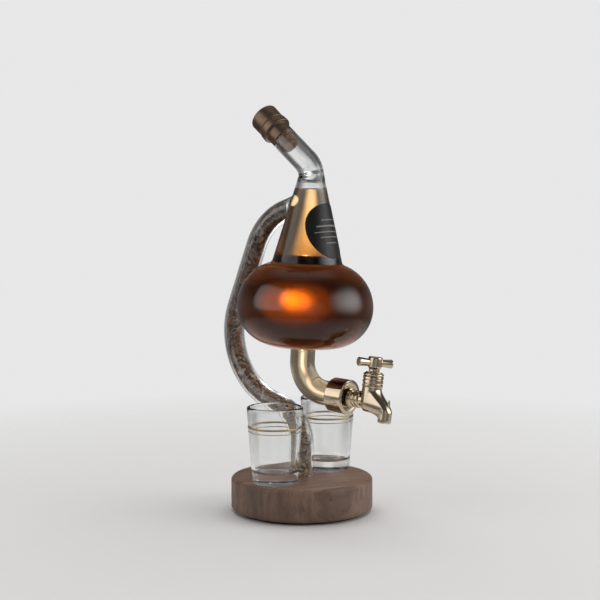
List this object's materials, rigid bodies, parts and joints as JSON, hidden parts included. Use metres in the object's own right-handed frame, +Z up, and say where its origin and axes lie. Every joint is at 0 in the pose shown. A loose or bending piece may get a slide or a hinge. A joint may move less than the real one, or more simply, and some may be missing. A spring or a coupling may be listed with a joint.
{
  "type": "decanter with tap",
  "caption": "Glass decanter shaped like a pot still on a bent glass arm and round wooden base, with a screw-down tap, cork stopper and shot glasses that stand on the base.",
  "frame": {"origin": "middle of the flat underside of the base's felt pad", "axes": "+X the way the tap faces, +Z up, the arm's bends lie in the XZ plane, and a shot glass stands on each side of it along Y"},
  "size_m": [0.1591, 0.1086, 0.3102],
  "materials": {
    "walnut": "oiled, satin",
    "felt": "napped",
    "clear_glass": "clear, polished",
    "cork": "natural",
    "grain": "dry husk and straw",
    "label_black": "satin film",
    "gold_metal": "polished, pale gold plating",
    "plain_brass": "machined",
    "seal_rubber": "soft, matt",
    "dark_rubber": "matt",
    "fibre": "pressed fibre, matt",
    "bronze_lacquer": "turned wood, satin bronze lacquer",
    "gilt": "fired gilding"
  },
  "bodies": {
    "decanter": {"base_block": "walnut", "base_pad": "felt", "support_arm": "clear_glass", "arm_bung": "cork", "grain_fill": "grain", "decanter_bowl": "clear_glass", "tapered_neck": "clear_glass", "swan_neck": "clear_glass", "outlet_elbow": "clear_glass", "front_label": "label_black", "tap_collar": "gold_metal", "collar_seal": "seal_rubber", "tail_nut": "plain_brass", "tap_gasket": "dark_rubber", "tap_body": "gold_metal", "bonnet_gasket": "fibre", "tap_bonnet": "gold_metal", "gland_packing": "dark_rubber", "gland_nut": "plain_brass"},
    "valve": {"valve_jumper": "plain_brass", "valve_washer": "dark_rubber"},
    "handle": {"tap_spindle": "plain_brass", "handle_hub": "gold_metal", "handle_bar": "gold_metal"},
    "stopper": {"stopper_cap": "bronze_lacquer", "stopper_cork": "cork"},
    "front_glass": {"front_glass": "clear_glass", "front_glass_bands": "gilt"},
    "rear_glass": {"rear_glass": "clear_glass", "rear_glass_bands": "gilt"}
  },
  "joints": [
    {"name": "valve_lift", "type": "slide", "parent": "decanter", "child": "valve", "axis": [0.0607, 0.1132, 0.9917], "range_m": [0, 0.00187]},
    {"name": "handle_turn", "type": "hinge", "parent": "valve", "child": "handle", "pos_m": [0.06399, 0, 0.08978], "axis": [0.0607, 0.1132, 0.9917], "range_deg": [0, 540]},
    {"name": "stopper_pull", "type": "slide", "parent": "decanter", "child": "stopper", "axis": [-0.7604, 0, 0.6494], "range_m": [0, 0.04]},
    {"name": "front_glass_lift", "type": "slide", "parent": "decanter", "child": "front_glass", "axis": [0, -0.9397, 0.342], "range_m": [0, 0.1]},
    {"name": "rear_glass_lift", "type": "slide", "parent": "decanter", "child": "rear_glass", "axis": [0, 0.9397, 0.342], "range_m": [0, 0.1]}
  ],
  "couplings": [
    {"joint": "handle_turn", "follows": "valve_lift", "rad_per_m": 5026.5}
  ]
}
